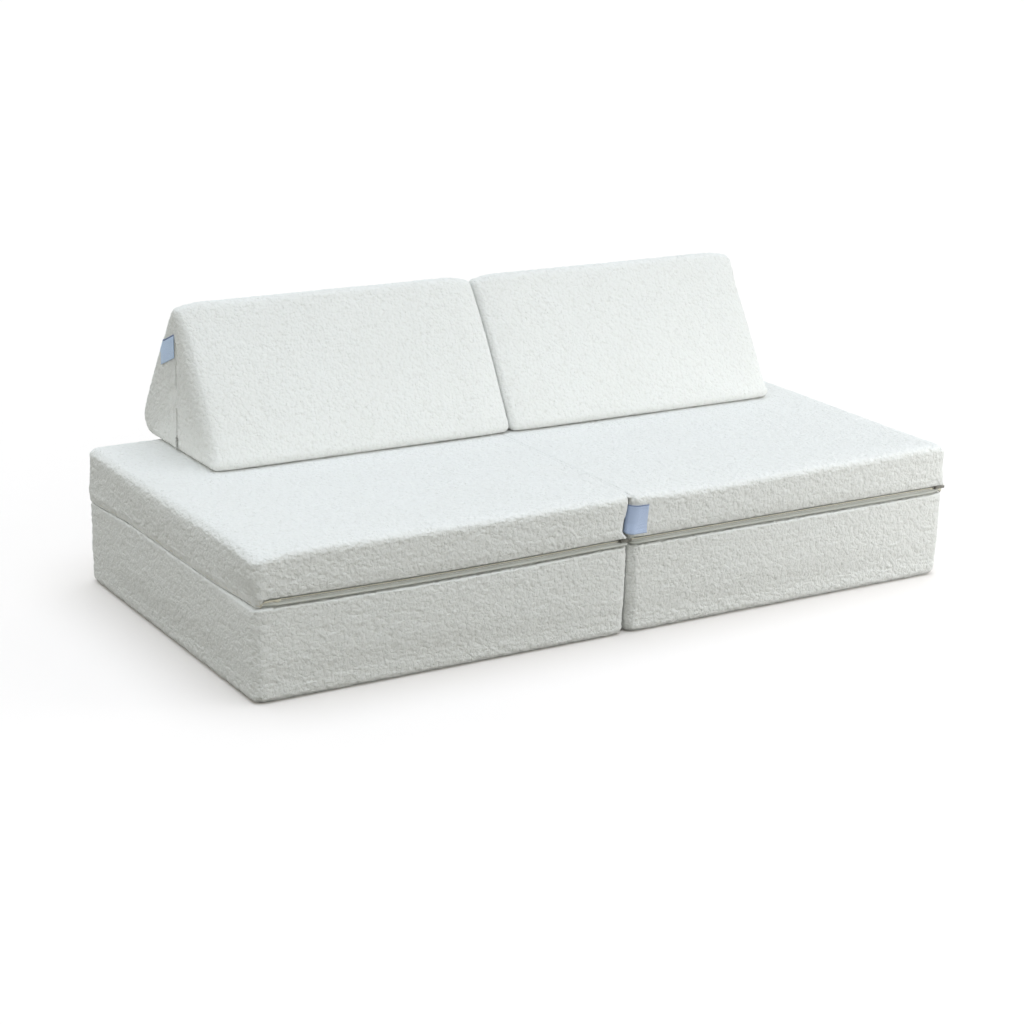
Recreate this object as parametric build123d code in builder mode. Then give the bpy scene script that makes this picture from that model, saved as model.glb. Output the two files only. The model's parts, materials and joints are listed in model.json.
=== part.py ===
from build123d import *

import os
from math import atan2, cos, radians, sin, tan

os.makedirs("parts", exist_ok=True)

# A modular foam play sofa. A thick base and a thinner seat cushion, each in two halves that fold
# together, carry two triangular back pillows. Every unit is a foam core in a zipped fabric cover.
# Millimetres: X runs along the sofa, Y from its front to its back, Z up from the floor.
# The origin is on the floor, under the middle of the footprint with the pillows on.

# Overall sizes
sofa_length = 1680
sofa_width = 825
base_height = 190
cushion_height = 108

# Fabric, foam and how close things lie
cover_skin = 3.0
foam_ease = 0.3
seam_gap = 0.3
rest_gap = 0.3
overrun = 6.0

# Shape of a base half: rounded below, a straight band round the zip, then slightly fuller sides
base_gap = 3.0
base_low_edge = 14.0
base_band = 48.0
base_draw = 4.0
base_swell_rise = 50.0
base_swell = 3.0
base_top_edge = 9.0
base_crown = 1.0
base_crown_run = 30.0
base_corner = 20.0
base_fold_share = 0.5

# Underside of a base half and the fabric hinge that joins the two
base_panel_margin = 36.0
base_panel_corner = 12.0
fold_leaf_thickness = 1.2
fold_leaf_margin = 40.0
fold_leaf_gap = 0.3

# Shape of a cushion half: a drawn-in band round the zip, full sides and a crowned top
cushion_gap = 3.0
cushion_low_edge = 4.0
cushion_band = 20.0
cushion_draw = 9.0
cushion_swell_rise = 30.0
cushion_swell = 3.0
cushion_top_edge = 14.0
cushion_crown = 2.5
cushion_crown_run = 40.0
cushion_low_corner = 8.0
cushion_corner = 18.0
cushion_fold_share = 0.12
cushion_rim = 8.0

# Strip of top fabric that joins the cushion halves
fold_strip_thickness = 1.5
fold_strip_drop = 2.0
fold_strip_margin = 24.0

# Back pillows: triangular prisms that meet over the right half and overhang the back edge
pillow_seam_x = 26.0
pillow_gap = 1.5
left_pillow_margin = 154.5
right_pillow_margin = 102.5
pillow_depth = 415.0
pillow_rise = 331.0
pillow_overhang = 87.5
pillow_front_edge = 14.0
pillow_back_edge = 40.0
pillow_apex_edge = 24.0
pillow_end_edge = 14.0
pillow_end_draw = 4.0
pillow_end_taper = 70.0
pillow_swell = 6.0
least_edge = 2.0

# Zip: tape, two rows of teeth with a slit between them, slider and hinged pull
tape_width = 15.0
tape_thickness = 0.7
tape_end = 3.0
teeth_row = 1.6
teeth_thickness = 1.6
teeth_slit = 1.2
slot_width = 7.4
slider_length = 12.0
slider_width = 6.4
slider_tail_width = 4.4
slider_plate = 1.0
slider_web = 4.0
slider_play = 0.3
slider_corner = 1.0
web_play = 0.2
lug_width = 2.4
lug_radius = 1.5
pin_radius = 0.8
pin_play = 0.1
pin_rise = 1.2
cheek_play = 0.3
pull_length = 26.0
pull_width = 6.0
pull_thickness = 1.2
pull_window = 2.4
pull_tip = 2.0
zip_stop = 1.0
pocket_play = 0.5

# Where the zips run
base_zip_rise = 34.0
pillow_zip_low = 22.0
pillow_zip_length = 212.0
pillow_zip_offset = 10.0

# Fabric tags
tag_thickness = 0.8
tag_gap = 0.1
cushion_tag_width = 38.0
cushion_tag_wrap = 22.0
cushion_tag_height = 60.0
cushion_tag_rise = 25.0
pillow_tag_height = 50.0
pillow_tag_reach = 66.0
pillow_tag_rise = 226.0
pillow_tag_droop = 16.0
pillow_tag_inset = 9.0
pillow_tag_lap = 10.0

# Steps, chosen by hand, that a rounded edge, a swelling side and a crown are lofted through
edge_shares = (0, 0.35, 0.68, 1)
swell_shares = (0.5, 1)
crown_shares = (0.4, 1)
taper_shares = (0.35, 1)

# Places that the overall sizes give
pillow_slope = atan2(pillow_rise, pillow_depth / 2)
back_edge_loss = pillow_back_edge * (1 / tan(pillow_slope / 2) - 1)
front_y = -(sofa_width + pillow_overhang - back_edge_loss) / 2
back_y = front_y + sofa_width
middle_y = (front_y + back_y) / 2
cushion_floor = base_height + rest_gap
seat_top = cushion_floor + cushion_height
pillow_floor = seat_top + rest_gap
pillow_y = back_y + pillow_overhang - pillow_depth / 2
left_pillow_length = sofa_length / 2 - left_pillow_margin + pillow_seam_x - pillow_gap / 2
right_pillow_length = sofa_length / 2 - right_pillow_margin - pillow_seam_x - pillow_gap / 2
foam_skin = cover_skin + foam_ease
sides = {"left": -1, "right": 1}

base_shape = {
    "height": base_height,
    "gap": base_gap,
    "low_edge": base_low_edge,
    "band": base_band,
    "draw": base_draw,
    "swell_rise": base_swell_rise,
    "swell": base_swell,
    "top_edge": base_top_edge,
    "crown": base_crown,
    "crown_run": base_crown_run,
    "low_corner": base_corner,
    "corner": base_corner,
    "fold_share": base_fold_share,
}
cushion_shape = {
    "height": cushion_height,
    "gap": cushion_gap,
    "low_edge": cushion_low_edge,
    "band": cushion_band,
    "draw": cushion_draw,
    "swell_rise": cushion_swell_rise,
    "swell": cushion_swell,
    "top_edge": cushion_top_edge,
    "crown": cushion_crown,
    "crown_run": cushion_crown_run,
    "low_corner": cushion_low_corner,
    "corner": cushion_corner,
    "fold_share": cushion_fold_share,
}


def save(piece, label):
    piece.part.label = label
    export_step(piece.part, f"parts/{label}.step")


# The soft block: one half of the base or of the cushion


def side_rows(shape, skin):
    """Rise, inset, swell and corner radius of each level, from the underside to the top."""
    low = shape["low_edge"] - skin
    top = shape["top_edge"] - skin
    band = shape["band"] - skin
    shoulder = shape["height"] - 2 * skin - shape["crown"]
    rows = []
    for share in edge_shares:
        turn = radians(90 * share)
        inset = shape["draw"] + low * (1 - sin(turn))
        rows.append((low * (1 - cos(turn)), inset, 0, shape["low_corner"]))
    rows.append((band, shape["draw"], 0, shape["low_corner"]))
    for share in swell_shares:
        inset = shape["draw"] * (1 - sin(radians(90 * share)))
        corner = shape["low_corner"] + share * (shape["corner"] - shape["low_corner"])
        rows.append((band + shape["swell_rise"] * share, inset, shape["swell"] * share, corner))
    for share in edge_shares:
        turn = radians(90 * share)
        rise = shoulder - top * (1 - sin(turn))
        rows.append((rise, top * (1 - cos(turn)), shape["swell"], shape["corner"]))
    for share in crown_shares:
        rise = shoulder + shape["crown"] * (1 - (1 - share) ** 2)
        rows.append((rise, top + shape["crown_run"] * share, shape["swell"], shape["corner"]))
    return rows


def bowed(start, end, middle, swell):
    """One side of an outline, straight where it does not swell."""
    if swell:
        return ThreePointArc(start, middle, end)
    return Line(start, end)


def block_form(side, floor, shape, skin):
    """A half as a closed form: straight at the fold, with its other sides swelling between corners."""
    with BuildPart() as form:
        for rise, inset, swell, corner in side_rows(shape, skin):
            inner = side * (shape["gap"] / 2 + skin + inset * shape["fold_share"])
            outer = side * (sofa_length / 2 - skin - inset)
            front = front_y + skin + inset
            back = back_y - skin - inset
            end = outer - side * swell
            middle_x = (inner + end) / 2
            with BuildSketch(Plane.XY.offset(floor + skin + rise)) as level:
                with BuildLine():
                    bowed((inner, front + swell), (end, front + swell), (middle_x, front), swell)
                    bowed((end, front + swell), (end, back - swell), (outer, middle_y), swell)
                    bowed((end, back - swell), (inner, back - swell), (middle_x, back), swell)
                    Line((inner, back - swell), (inner, front + swell))
                make_face()
                fillet(level.vertices(), max(corner - skin, least_edge))
        loft(ruled=True)
    return form.part


# The pillow: a triangular prism with rounded edges and drawn-in ends


def end_rows(length, skin):
    """Place along the pillow, inset all round and draw of its two faces, from end to end."""
    edge = pillow_end_edge - skin
    rows = []
    for share in edge_shares:
        turn = radians(90 * share)
        rows.append((edge * (1 - cos(turn)), edge * (1 - sin(turn)), pillow_end_draw))
    for share in taper_shares:
        place = edge + (pillow_end_taper - edge) * share
        rows.append((place, 0, pillow_end_draw * (1 - share) ** 2))
    whole = length - 2 * skin
    return rows + [(whole - place, inset, draw) for place, inset, draw in reversed(rows)]


def pillow_form(left, length, skin):
    """The pillow as a closed form, its two upper faces crowned between the long edges."""
    slope = pillow_slope
    half = pillow_depth / 2
    with BuildPart() as form:
        for place, inset, draw in end_rows(length, skin):
            low = skin + inset
            face = skin + inset + draw
            foot = half - (face + low * cos(slope)) / sin(slope)
            apex = (half * sin(slope) - face) / cos(slope)
            bulge = ((foot / 2 + pillow_swell * sin(slope)), (low + apex) / 2 + pillow_swell * cos(slope))
            section = Plane(
                origin=(left + skin + place, pillow_y, pillow_floor), x_dir=(0, 1, 0), z_dir=(1, 0, 0)
            )
            with BuildSketch(section) as level:
                with BuildLine():
                    Line((-foot, low), (foot, low))
                    ThreePointArc((foot, low), bulge, (0, apex))
                    ThreePointArc((0, apex), (-bulge[0], bulge[1]), (-foot, low))
                make_face()
                front_corner = level.vertices().sort_by(Axis.X)[0]
                fillet(front_corner, max(pillow_front_edge - low, least_edge))
                back_corner = level.vertices().sort_by(Axis.X)[-1]
                fillet(back_corner, max(pillow_back_edge - low, least_edge))
                top_corner = level.vertices().sort_by(Axis.Y)[-1]
                fillet(top_corner, max(pillow_apex_edge - low, least_edge))
        loft(ruled=True)
    return form.part


# The zip. Its plane lies on the cover's outer face, with x towards the closed end and z outwards.

tape_level = -cover_skin - tape_thickness
teeth_level = -cover_skin - tape_thickness / 2 - teeth_thickness / 2
teeth_reach = teeth_slit / 2 + teeth_row
tape_half = tape_width / 2 - teeth_reach
lower_plate_level = teeth_level - slider_play - slider_plate
upper_plate_level = teeth_level + teeth_thickness + slider_play
upper_plate_top = upper_plate_level + slider_plate
pocket_level = lower_plate_level - pocket_play


def slider_park(length):
    """How far from the middle of the zip its slider rests, at the closed end."""
    return length / 2 - zip_stop - slider_length / 2


def hinge_plane(seam, length):
    """Through the slider's pin, with x along the zip and y outwards."""
    pin = seam.from_local_coords(Vector(slider_park(length), 0, pin_rise))
    return Plane(origin=pin, x_dir=seam.x_dir, z_dir=-seam.y_dir)


def zip_tape(seam, length):
    """Two strips of tape behind the cover, one on each side of the teeth."""
    with BuildPart() as tape:
        with BuildSketch(seam.offset(tape_level)):
            for way in (-1, 1):
                with Locations((0, way * (teeth_reach + tape_half / 2))):
                    Rectangle(length + 2 * tape_end, tape_half)
        extrude(amount=tape_thickness)
    return tape


def zip_teeth(seam, length):
    """Two rows of teeth, with the slit that the slider's web runs in."""
    with BuildPart() as teeth:
        with BuildSketch(seam.offset(teeth_level)):
            for way in (-1, 1):
                with Locations((0, way * (teeth_slit + teeth_row) / 2)):
                    Rectangle(length, teeth_row)
        extrude(amount=teeth_thickness)
    return teeth


def zip_slider(seam, length):
    """Two plates round the teeth, joined by a web in the slit, and a bored lug for the pull."""
    park = slider_park(length)
    nose = park + slider_length / 2
    tail = park - slider_length / 2
    wide, narrow = slider_width / 2, slider_tail_width / 2
    hinge = hinge_plane(seam, length)
    with BuildPart() as slider:
        for level in (lower_plate_level, upper_plate_level):
            with BuildSketch(seam.offset(level)) as plate:
                with BuildLine():
                    Polyline(
                        (tail, -narrow), (park, -wide), (nose, -wide),
                        (nose, wide), (park, wide), (tail, narrow), close=True,
                    )
                make_face()
                fillet(plate.vertices(), slider_corner)
            extrude(amount=slider_plate)
        with BuildSketch(seam.offset(lower_plate_level + slider_plate)):
            with Locations((nose - slider_web / 2 - slider_corner, 0)):
                Rectangle(slider_web, teeth_slit - 2 * web_play)
        extrude(amount=upper_plate_level - lower_plate_level - slider_plate)
        with BuildSketch(hinge):
            Circle(lug_radius)
            with Locations((0, (upper_plate_top - pin_rise) / 2)):
                Rectangle(2 * lug_radius, pin_rise - upper_plate_top)
            Circle(pin_radius + pin_play, mode=Mode.SUBTRACT)
        extrude(amount=lug_width / 2, both=True)
    return slider


def zip_pull(seam, length):
    """A tab with two cheeks, and a pin between them through the slider's lug."""
    hinge = hinge_plane(seam, length)
    window_half = lug_width / 2 + cheek_play
    flat = Plane(origin=hinge.origin, x_dir=seam.x_dir, z_dir=seam.z_dir)
    with BuildPart() as pull:
        with BuildSketch(flat.offset(-pull_thickness / 2)) as tab:
            with Locations((pull_length / 2, 0)):
                Rectangle(pull_length, pull_width)
            fillet(tab.vertices().group_by(Axis.X)[-1], pull_tip)
        extrude(amount=pull_thickness)
        with BuildSketch(hinge):
            Circle(lug_radius)
        extrude(amount=pull_width / 2, both=True)
        with BuildSketch(flat.offset(-lug_radius - overrun)):
            with Locations(((pull_window - lug_radius - cheek_play) / 2, 0)):
                Rectangle(pull_window + lug_radius + cheek_play, 2 * window_half)
        extrude(amount=2 * (lug_radius + overrun), mode=Mode.SUBTRACT)
        with BuildSketch(hinge):
            Circle(pin_radius)
        extrude(amount=window_half + cheek_play, both=True)
    return pull


def zip_slot(seam, length):
    """The opening in the cover that the slider travels in."""
    with BuildPart() as slot:
        with BuildSketch(seam.offset(-cover_skin - seam_gap)):
            Rectangle(length, slot_width)
        extrude(amount=cover_skin + seam_gap + overrun)
    return slot.part


def zip_pocket(seam, length):
    """The room in the foam for the tape and the slider's lower plate."""
    with BuildPart() as pocket:
        with BuildSketch(seam.offset(pocket_level)):
            Rectangle(length + 2 * (tape_end + pocket_play), tape_width + 2 * pocket_play)
        extrude(amount=-pocket_level + overrun)
    return pocket.part


def save_zip(unit, seam, length):
    save(zip_tape(seam, length), f"{unit}_zip_tape")
    save(zip_teeth(seam, length), f"{unit}_zip_teeth")
    save(zip_slider(seam, length), f"{unit}_zip_slider")
    save(zip_pull(seam, length), f"{unit}_zip_pull")


# Base: two halves joined underneath by a fabric hinge, with a zip low on each back

base_zip_start = base_gap / 2 + base_draw * base_fold_share + base_corner + tape_end
base_zip_end = sofa_length / 2 - base_draw - base_corner - tape_end
base_zip_length = base_zip_end - base_zip_start
leaf_end = base_gap / 2 + base_panel_margin - seam_gap
leaf_width = leaf_end - fold_leaf_gap / 2
leaf_length = sofa_width - 2 * fold_leaf_margin
panel_start = base_gap / 2 + base_panel_margin
panel_length = sofa_length / 2 - base_panel_margin - panel_start
panel_width = sofa_width - 2 * base_panel_margin


def base_seam(side):
    place = side * (base_zip_start + base_zip_end) / 2
    return Plane(origin=(place, back_y - base_draw, base_zip_rise), x_dir=(1, 0, 0), z_dir=(0, 1, 0))


for half, side in sides.items():
    seam = base_seam(side)
    outside = block_form(side, 0, base_shape, 0)
    inside = block_form(side, 0, base_shape, cover_skin)
    panel_place = Plane(origin=(side * (panel_start + panel_length / 2), middle_y, 0))
    leaf_place = Plane(origin=(side * (leaf_end - leaf_width / 2), middle_y, 0))

    with BuildPart() as base_foam:
        add(block_form(side, 0, base_shape, foam_skin))
        add(zip_pocket(seam, base_zip_length), mode=Mode.SUBTRACT)
    save(base_foam, f"base_{half}_foam")

    with BuildPart() as base_cover:
        add(outside)
        add(inside, mode=Mode.SUBTRACT)
        add(zip_slot(seam, base_zip_length), mode=Mode.SUBTRACT)
        with BuildSketch(panel_place):
            RectangleRounded(
                panel_length + 2 * seam_gap, panel_width + 2 * seam_gap, base_panel_corner + seam_gap
            )
        extrude(amount=cover_skin, mode=Mode.SUBTRACT)
        with BuildSketch(leaf_place):
            Rectangle(leaf_width + 2 * seam_gap, leaf_length + 2 * seam_gap)
        extrude(amount=fold_leaf_thickness + seam_gap, mode=Mode.SUBTRACT)
    save(base_cover, f"base_{half}_cover")

    with BuildPart() as base_panel:
        with BuildSketch(panel_place):
            RectangleRounded(panel_length, panel_width, base_panel_corner)
        extrude(amount=cover_skin)
    save(base_panel, f"base_{half}_bottom_panel")

    with BuildPart() as fold_leaf:
        with BuildSketch(leaf_place):
            Rectangle(leaf_width, leaf_length)
        extrude(amount=fold_leaf_thickness)
    save(fold_leaf, f"base_{half}_fold_leaf")

    save_zip(f"base_{half}", seam, base_zip_length)

# Seat cushion: two halves under one top, with a zip along the front lower edge of each

cushion_zip_start = cushion_gap / 2 + cushion_draw * cushion_fold_share + cushion_low_corner + tape_end
cushion_zip_end = sofa_length / 2 - cushion_draw - cushion_low_corner - tape_end
cushion_zip_length = cushion_zip_end - cushion_zip_start
cushion_zip_rise = cushion_rim + seam_gap + slot_width / 2
cushion_shoulder = seat_top - cushion_crown
tag_floor = cushion_floor + cushion_tag_rise


def cushion_seam(side):
    place = side * (cushion_zip_start + cushion_zip_end) / 2
    rise = cushion_floor + cushion_zip_rise
    return Plane(origin=(place, front_y + cushion_draw, rise), x_dir=(1, 0, 0), z_dir=(0, -1, 0))


for half, side in sides.items():
    seam = cushion_seam(side)
    outside = block_form(side, cushion_floor, cushion_shape, 0)
    inside = block_form(side, cushion_floor, cushion_shape, cover_skin)

    with BuildPart() as cushion_foam:
        add(block_form(side, cushion_floor, cushion_shape, foam_skin))
        add(zip_pocket(seam, cushion_zip_length), mode=Mode.SUBTRACT)
    save(cushion_foam, f"cushion_{half}_foam")

    with BuildPart() as cushion_cover:
        add(outside)
        add(inside, mode=Mode.SUBTRACT)
        split(bisect_by=Plane.XY.offset(cushion_floor + cushion_rim + seam_gap), keep=Keep.TOP)
        add(zip_slot(seam, cushion_zip_length), mode=Mode.SUBTRACT)
    save(cushion_cover, f"cushion_{half}_cover")

    with BuildPart() as cushion_tray:
        add(outside)
        add(inside, mode=Mode.SUBTRACT)
        split(bisect_by=Plane.XY.offset(cushion_floor + cushion_rim), keep=Keep.BOTTOM)
    save(cushion_tray, f"cushion_{half}_bottom_panel")

    save_zip(f"cushion_{half}", seam, cushion_zip_length)

with BuildPart() as fold_strip:
    with BuildSketch(Plane.XY.offset(cushion_shoulder - fold_strip_drop - fold_strip_thickness)):
        with Locations((0, middle_y)):
            Rectangle(cushion_gap, sofa_width - 2 * fold_strip_margin)
    extrude(amount=fold_strip_thickness)
save(fold_strip, "cushion_fold_strip")

with BuildPart() as cushion_tag:
    add(block_form(1, cushion_floor, cushion_shape, -tag_gap - tag_thickness))
    add(block_form(1, cushion_floor, cushion_shape, -tag_gap), mode=Mode.SUBTRACT)
    with BuildSketch(Plane.XY.offset(tag_floor)):
        with Locations((cushion_gap / 2 + cushion_tag_width / 2, front_y + cushion_tag_wrap / 2)):
            Rectangle(cushion_tag_width + cushion_gap, cushion_tag_wrap + cushion_gap)
    extrude(amount=cushion_tag_height, mode=Mode.INTERSECT)
save(cushion_tag, "cushion_tag")

# Back pillows: a zip up the middle of each outer end

pillows = {
    "left": (pillow_seam_x - pillow_gap / 2 - left_pillow_length, left_pillow_length),
    "right": (pillow_seam_x + pillow_gap / 2, right_pillow_length),
}


def pillow_seam(half):
    left, length = pillows[half]
    end = left if half == "left" else left + length
    rise = pillow_floor + pillow_zip_low + pillow_zip_length / 2
    return Plane(
        origin=(end, pillow_y - pillow_zip_offset, rise), x_dir=(0, 0, -1), z_dir=(sides[half], 0, 0)
    )


for half, (left, length) in pillows.items():
    seam = pillow_seam(half)

    with BuildPart() as pillow_foam:
        add(pillow_form(left, length, foam_skin))
        add(zip_pocket(seam, pillow_zip_length), mode=Mode.SUBTRACT)
    save(pillow_foam, f"pillow_{half}_foam")

    with BuildPart() as pillow_cover:
        add(pillow_form(left, length, 0))
        add(pillow_form(left, length, cover_skin), mode=Mode.SUBTRACT)
        add(zip_slot(seam, pillow_zip_length), mode=Mode.SUBTRACT)
    save(pillow_cover, f"pillow_{half}_cover")

    save_zip(f"pillow_{half}", seam, pillow_zip_length)

# The left pillow's tag is sewn in beside its zip and folds over the end's back edge
tag_start_y = pillow_y - pillow_zip_offset + slot_width / 2 + seam_gap
left_end = pillows["left"][0]
tag_plane = Plane(
    origin=(left_end, tag_start_y, pillow_floor + pillow_tag_rise), x_dir=(0, 1, 0), z_dir=(1, 0, 0)
).rotated((-pillow_tag_droop, 0, 0))

with BuildPart() as pillow_tag:
    add(pillow_form(left_end, left_pillow_length, -tag_gap - tag_thickness))
    add(pillow_form(left_end, left_pillow_length, -tag_gap), mode=Mode.SUBTRACT)
    with BuildSketch(tag_plane.offset(-overrun)):
        with Locations(((pillow_tag_reach - pillow_tag_lap) / 2, 0)):
            Rectangle(pillow_tag_reach + pillow_tag_lap, pillow_tag_height)
    extrude(amount=overrun + pillow_tag_inset, mode=Mode.INTERSECT)
    split(bisect_by=Plane.XZ.offset(-tag_start_y), keep=Keep.BOTTOM)
save(pillow_tag, "pillow_left_tag")
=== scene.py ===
import bpy
import bmesh
import json
from math import atan2, cos, exp, hypot, pi, radians, sin, tan
from mathutils import Matrix, Vector, noise

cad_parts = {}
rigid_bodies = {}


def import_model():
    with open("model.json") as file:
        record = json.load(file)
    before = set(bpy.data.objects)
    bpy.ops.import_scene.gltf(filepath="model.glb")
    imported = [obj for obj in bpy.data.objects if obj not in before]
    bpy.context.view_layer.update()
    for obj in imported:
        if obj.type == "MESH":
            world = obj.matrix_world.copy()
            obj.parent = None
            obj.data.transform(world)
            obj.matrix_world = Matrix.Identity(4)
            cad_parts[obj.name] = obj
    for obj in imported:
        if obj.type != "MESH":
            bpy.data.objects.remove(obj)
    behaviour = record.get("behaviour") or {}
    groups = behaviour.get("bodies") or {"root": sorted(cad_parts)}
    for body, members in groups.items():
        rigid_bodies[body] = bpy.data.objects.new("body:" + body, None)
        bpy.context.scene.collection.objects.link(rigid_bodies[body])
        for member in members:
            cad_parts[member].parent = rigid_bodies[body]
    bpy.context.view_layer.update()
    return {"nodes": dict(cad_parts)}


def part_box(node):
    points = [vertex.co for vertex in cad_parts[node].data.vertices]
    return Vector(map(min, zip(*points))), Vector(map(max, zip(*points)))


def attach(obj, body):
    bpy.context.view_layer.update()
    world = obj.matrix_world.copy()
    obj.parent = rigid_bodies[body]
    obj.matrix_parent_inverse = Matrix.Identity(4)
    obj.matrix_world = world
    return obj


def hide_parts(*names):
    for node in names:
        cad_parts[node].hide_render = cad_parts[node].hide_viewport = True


for old in list(bpy.data.objects):
    bpy.data.objects.remove(old)
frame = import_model()

mm = 0.001
scene = bpy.context.scene
baseLow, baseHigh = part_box("base_right_cover")
cushionLow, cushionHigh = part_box("cushion_right_cover")
trayLow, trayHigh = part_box("cushion_right_bottom_panel")
frontY, backY = baseLow.y, baseHigh.y
middleY = (frontY + backY) / 2
halfLength = baseHigh.x
cushionFloor = trayLow.z
sides = {"left": -1, "right": 1}


# helpers for meshes

def emptyMesh():
    return bmesh.new()


def toObject(bm, name, smooth=True):
    mesh = bpy.data.meshes.new(name)
    bm.to_mesh(mesh)
    bm.free()
    obj = bpy.data.objects.new(name, mesh)
    scene.collection.objects.link(obj)
    for polygon in mesh.polygons:
        polygon.use_smooth = smooth
    return obj


def applied(obj):  # the object with its modifiers made part of its mesh
    graph = bpy.context.evaluated_depsgraph_get()
    mesh = bpy.data.meshes.new_from_object(obj.evaluated_get(graph))
    obj.modifiers.clear()
    old = obj.data
    obj.data = mesh
    mesh.name = obj.name
    bpy.data.meshes.remove(old)
    return obj


def softened(obj, levels):  # subdivided while its caps are open, then closed with flat caps
    smooth = obj.modifiers.new("Soft", "SUBSURF")
    smooth.levels = smooth.render_levels = levels
    applied(obj)
    bm = bmesh.new()
    bm.from_mesh(obj.data)
    rims = [e for e in bm.edges if e.is_boundary]
    bmesh.ops.triangle_fill(bm, edges=rims, use_beauty=True)
    bmesh.ops.recalc_face_normals(bm, faces=bm.faces)
    bm.to_mesh(obj.data)
    bm.free()
    return obj


def foamInside(cage, node, body):  # the foam core, a little inside its cover everywhere
    bm = bmesh.new()
    bm.from_mesh(cage)
    bmesh.ops.triangle_fill(bm, edges=[e for e in bm.edges if e.is_boundary], use_beauty=True)
    bmesh.ops.recalc_face_normals(bm, faces=bm.faces)
    bm.normal_update()
    for vert, way in [(v, v.normal.copy()) for v in bm.verts]:
        vert.co -= way * foamEase
    foam = toObject(bm, node.replace("_foam", "_core"))
    finishPiece(foam, foamFinish, body, [node])


foamEase = 4.2 * mm


def finishPiece(obj, material, body, nodes):
    obj.data.materials.clear()
    obj.data.materials.append(material)
    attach(obj, body)
    if nodes:
        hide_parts(*nodes)
    return obj


def smoothStep(value, low, high):
    share = min(max((value - low) / (high - low), 0), 1)
    return share * share * (3 - 2 * share)


# looks: shared effects are node groups, and each finish is a material

def nodeGroup(name, inputs, outputs):
    group = bpy.data.node_groups.new(name, "ShaderNodeTree")
    for label, kind, value in inputs:
        socket = group.interface.new_socket(name=label, in_out="INPUT", socket_type=kind)
        if value is not None:
            socket.default_value = value
    for label, kind in outputs:
        group.interface.new_socket(name=label, in_out="OUTPUT", socket_type=kind)
    start = group.nodes.new("NodeGroupInput")
    end = group.nodes.new("NodeGroupOutput")
    return group, start.outputs, end.inputs


def addNode(tree, kind, links=None, values=None, **settings):
    node = tree.nodes.new(kind)
    for key, value in settings.items():
        setattr(node, key, value)
    for key, value in (values or {}).items():
        node.inputs[key].default_value = value
    for key, source in (links or {}).items():
        tree.links.new(source, node.inputs[key])
    return node


def mathNode(tree, operation, first, second=None, clamp=False):
    node = tree.nodes.new("ShaderNodeMath")
    node.operation = operation
    node.use_clamp = clamp
    for socket, value in zip(node.inputs, (first, second)):
        if value is None:
            continue
        if isinstance(value, (int, float)):
            socket.default_value = value
        else:
            tree.links.new(value, socket)
    return node.outputs[0]


def mixColour(tree, factor, first, second):
    node = tree.nodes.new("ShaderNodeMix")
    node.data_type = "RGBA"
    for socket, value in ((node.inputs[0], factor), (node.inputs[6], first), (node.inputs[7], second)):
        if isinstance(value, (int, float)):
            socket.default_value = value
        elif isinstance(value, tuple):
            socket.default_value = (*value, 1)
        else:
            tree.links.new(value, socket)
    return node.outputs[2]


def loopYarnGroup():  # curls of yarn over a knitted ground, in metres; its Shade output is painted shade, darker where the yarn lies low between curls
    group, given, out = nodeGroup(
        "loopYarn",
        [("Vector", "NodeSocketVector", None), ("Loop Size", "NodeSocketFloat", 0.005)],
        [("Shade", "NodeSocketFloat"), ("Height", "NodeSocketFloat")],
    )
    rate = mathNode(group, "DIVIDE", 1.0, given["Loop Size"])
    halfRate = mathNode(group, "MULTIPLY", rate, 0.6)
    warp = addNode(group, "ShaderNodeTexNoise",
                   {"Vector": given["Vector"], "Scale": halfRate}, {"Detail": 2.0})
    centred = addNode(group, "ShaderNodeVectorMath", {0: warp.outputs["Color"]},
                      {1: (0.5, 0.5, 0.5)}, operation="SUBTRACT")
    reach = mathNode(group, "MULTIPLY", given["Loop Size"], 1.6)
    push = addNode(group, "ShaderNodeVectorMath",
                   {0: centred.outputs[0], "Scale": reach}, operation="SCALE")
    place = addNode(group, "ShaderNodeVectorMath",
                    {0: given["Vector"], 1: push.outputs[0]}, operation="ADD")
    cells = addNode(group, "ShaderNodeTexVoronoi",
                    {"Vector": place.outputs[0], "Scale": rate}, {"Randomness": 1.0})
    reachSquared = mathNode(group, "MULTIPLY", cells.outputs["Distance"], cells.outputs["Distance"])
    dome = mathNode(group, "MULTIPLY_ADD", reachSquared, -1.3)
    group.nodes[-1].inputs[2].default_value = 1.0
    fineRate = mathNode(group, "MULTIPLY", rate, 1.15)
    strands = addNode(group, "ShaderNodeTexNoise",
                      {"Vector": place.outputs[0], "Scale": fineRate}, {"Detail": 2.0, "Roughness": 0.55})
    offset = mathNode(group, "SUBTRACT", strands.outputs[0], 0.5)
    ridge = mathNode(group, "MULTIPLY_ADD", mathNode(group, "MULTIPLY", offset, offset), -28.0)
    group.nodes[-1].inputs[2].default_value = 1.0
    height = mathNode(group, "ADD", mathNode(group, "MULTIPLY", dome, 0.7),
                      mathNode(group, "MULTIPLY", ridge, 0.3))
    group.links.new(height, out["Height"])
    # Shade: painted shade, darker where the yarn lies low between curls
    shade = mathNode(group, "MULTIPLY_ADD", height, 0.9, clamp=True)
    group.nodes[-1].inputs[2].default_value = 0.15
    group.links.new(shade, out["Shade"])
    return group


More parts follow.
